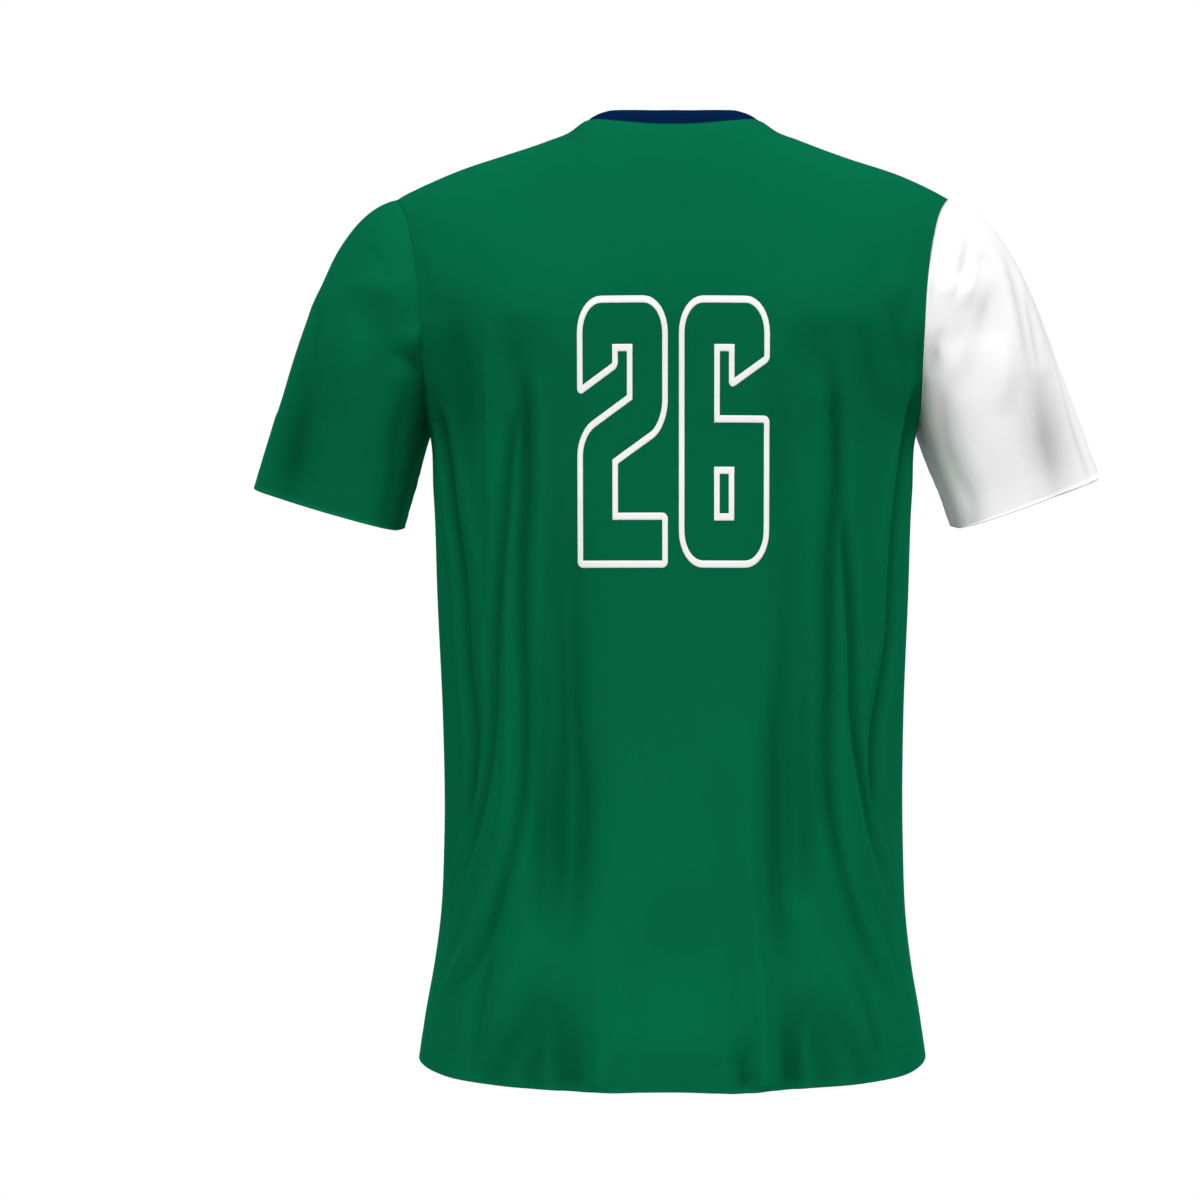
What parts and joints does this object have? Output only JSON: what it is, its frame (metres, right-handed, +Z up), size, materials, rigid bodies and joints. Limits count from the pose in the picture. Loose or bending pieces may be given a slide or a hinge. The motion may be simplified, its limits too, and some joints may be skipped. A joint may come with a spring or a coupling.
{
  "type": "baseball jersey",
  "caption": "Short-sleeved pullover team jersey, filled out as worn, with a crew neckband, set-in sleeves, a straight hem and an outlined player number on the back.",
  "frame": {"origin": "midway between the two points where the shoulder seams meet the neckline, where the wearer's shoulders hold the jersey up", "axes": "+Z up, the front faces -Y, the wearer's left is +X"},
  "size_m": [0.691, 0.276, 0.7573],
  "materials": {
    "green_knit": "smooth knit, soft sheen",
    "navy_knit": "smooth knit, soft sheen",
    "white_knit": "smooth knit, soft sheen",
    "navy_rib": "fine rib knit",
    "white_film": "pressed number film, satin"
  },
  "bodies": {
    "root": {"back_panel": "green_knit", "front_panel": "navy_knit", "left_sleeve": "green_knit", "right_sleeve": "white_knit", "neckband": "navy_rib", "number_2": "white_film", "number_6": "white_film", "number_6_counter": "white_film"}
  },
  "joints": []
}
